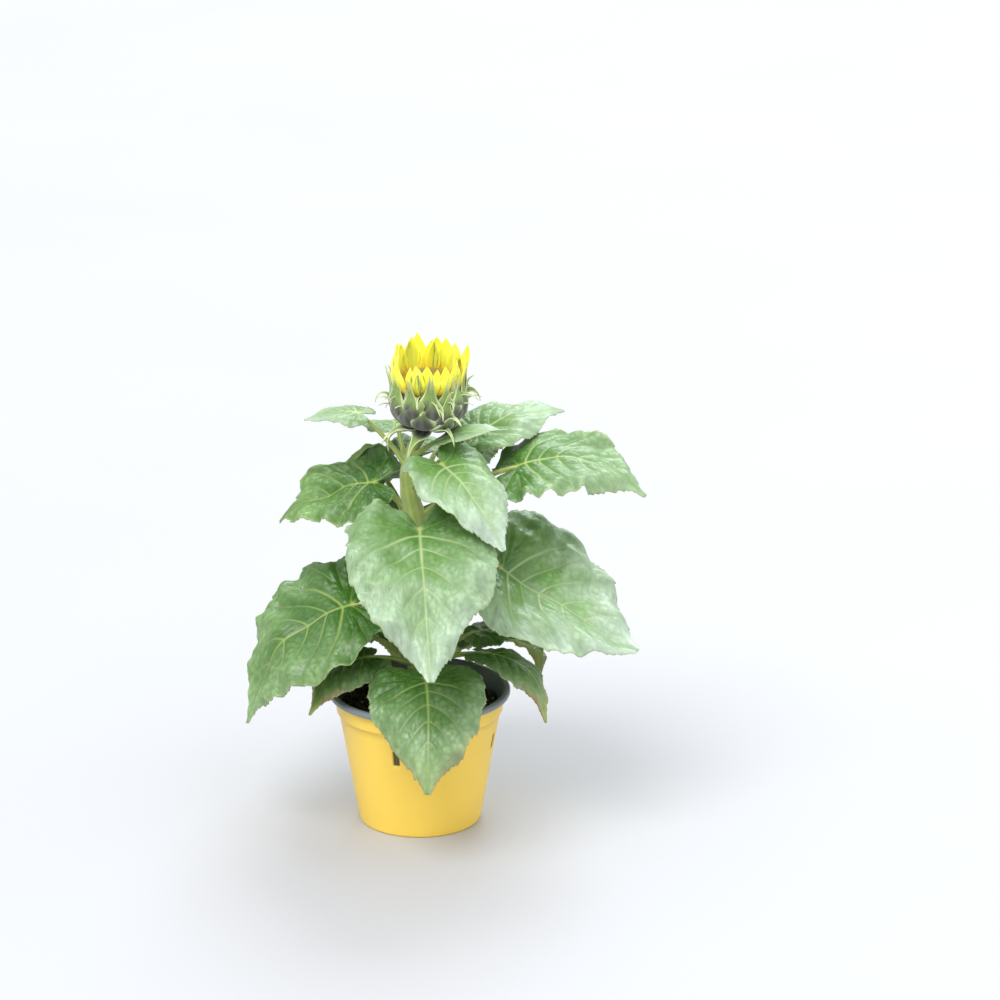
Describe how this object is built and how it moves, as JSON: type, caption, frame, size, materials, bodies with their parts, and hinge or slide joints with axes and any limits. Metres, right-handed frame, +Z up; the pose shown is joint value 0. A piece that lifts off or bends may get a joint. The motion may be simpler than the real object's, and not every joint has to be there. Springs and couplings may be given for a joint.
{
  "type": "potted dwarf sunflower plant",
  "caption": "Dwarf sunflower plant in a round yellow plastic pot, with broad heart-shaped leaves on stalks and one opening yellow flower head on top.",
  "frame": {"origin": "centre of the flat underside of the pot", "axes": "+Z up along the plant's height; -Y towards the side with the big hanging front leaf; +X towards that side's right"},
  "size_m": [0.2317, 0.2345, 0.2888],
  "materials": {
    "pot": "satin moulded plastic, warm yellow",
    "pot_lip": "satin moulded plastic, blue-grey rim and inside",
    "soil": "moist dark peat with fibres",
    "stem": "pale green, ribbed and finely hairy",
    "stalk": "pale yellow-green, grooved and finely hairy",
    "leaf": "mid green, quilted, with pale veins and a soft gloss",
    "bract": "dark grey-green with pale edges and tips, finely hairy",
    "ray": "bright yellow petals, orange towards the foot",
    "disc": "green-brown packed florets"
  },
  "bodies": {
    "root": {"pot": "pot", "pot_lip": "pot_lip", "soil": "soil", "stem": "stem", "stalk_low_front": "stalk", "leaf_low_front": "leaf", "stalk_low_right": "stalk", "leaf_low_right": "leaf", "stalk_low_left": "stalk", "leaf_low_left": "leaf", "stalk_low_back": "stalk", "leaf_low_back": "leaf", "stalk_low_back_left": "stalk", "leaf_low_back_left": "leaf", "stalk_low_back_right": "stalk", "leaf_low_back_right": "leaf", "stalk_left": "stalk", "leaf_left": "leaf", "stalk_right": "stalk", "leaf_right": "leaf", "stalk_back_left": "stalk", "leaf_back_left": "leaf", "stalk_back_right": "stalk", "leaf_back_right": "leaf", "stalk_front": "stalk", "leaf_front": "leaf", "stalk_back": "stalk", "leaf_back": "leaf", "stalk_upper_left": "stalk", "leaf_upper_left": "leaf", "stalk_upper_right": "stalk", "leaf_upper_right": "leaf", "stalk_upper_back_left": "stalk", "leaf_upper_back_left": "leaf", "stalk_upper_back": "stalk", "leaf_upper_back": "leaf", "stalk_upper_front": "stalk", "leaf_upper_front": "leaf", "stalk_upper_back_right": "stalk", "leaf_upper_back_right": "leaf", "stalk_small_left": "stalk", "leaf_small_left": "leaf", "stalk_small_back": "stalk", "leaf_small_back": "leaf", "stalk_small_right": "stalk", "leaf_small_right": "leaf", "flower_receptacle": "bract", "flower_bracts": "bract", "flower_rays": "ray", "flower_disc": "disc"}
  },
  "joints": []
}
